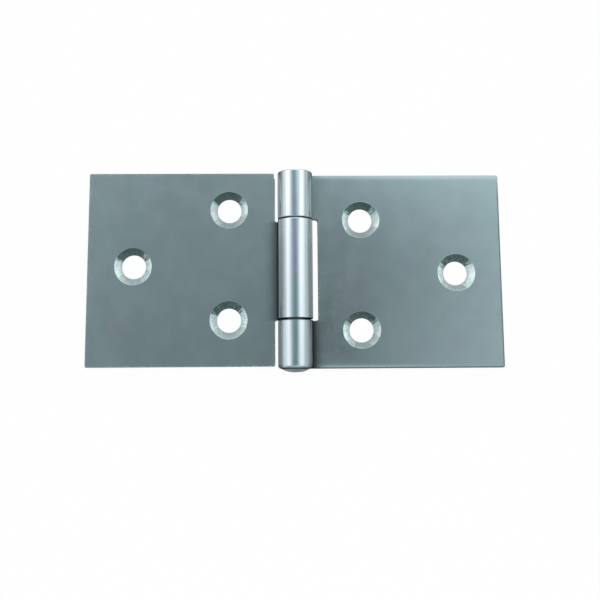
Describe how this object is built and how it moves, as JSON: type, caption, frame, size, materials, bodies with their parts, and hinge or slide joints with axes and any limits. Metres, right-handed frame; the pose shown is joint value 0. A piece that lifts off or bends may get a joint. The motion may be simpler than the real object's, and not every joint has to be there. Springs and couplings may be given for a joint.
{
  "type": "back flap hinge",
  "caption": "Wide-leaf steel hinge rolled from sheet round a riveted pin, with countersunk screw holes, for table flaps, lids and shutters.",
  "frame": {"origin": "in the plane of the leaves' backs, under the middle of the pin, with the hinge open flat", "axes": "+X across the leaves towards the leaf with the outer knuckles, +Y along the pin towards its flatter made head, +Z away from the wood, on the side where the barrel stands out"},
  "size_m": [0.108, 0.0524, 0.009],
  "materials": {
    "plated_sheet": "bright zinc plate on rolled sheet steel, smooth, with fine tool marks in the countersinks",
    "plated_pin": "bright zinc plate on steel wire, slightly dulled where the end was peened"
  },
  "bodies": {
    "pin_side": {"right_leaf": "plated_sheet", "hinge_pin": "plated_pin"},
    "swinging_side": {"left_leaf": "plated_sheet"}
  },
  "joints": [
    {"name": "leaf_swing", "type": "hinge", "parent": "pin_side", "child": "swinging_side", "pos_m": [0, 0, 0.0045], "axis": [0, 1, 0], "range_deg": [-95, 180]}
  ]
}
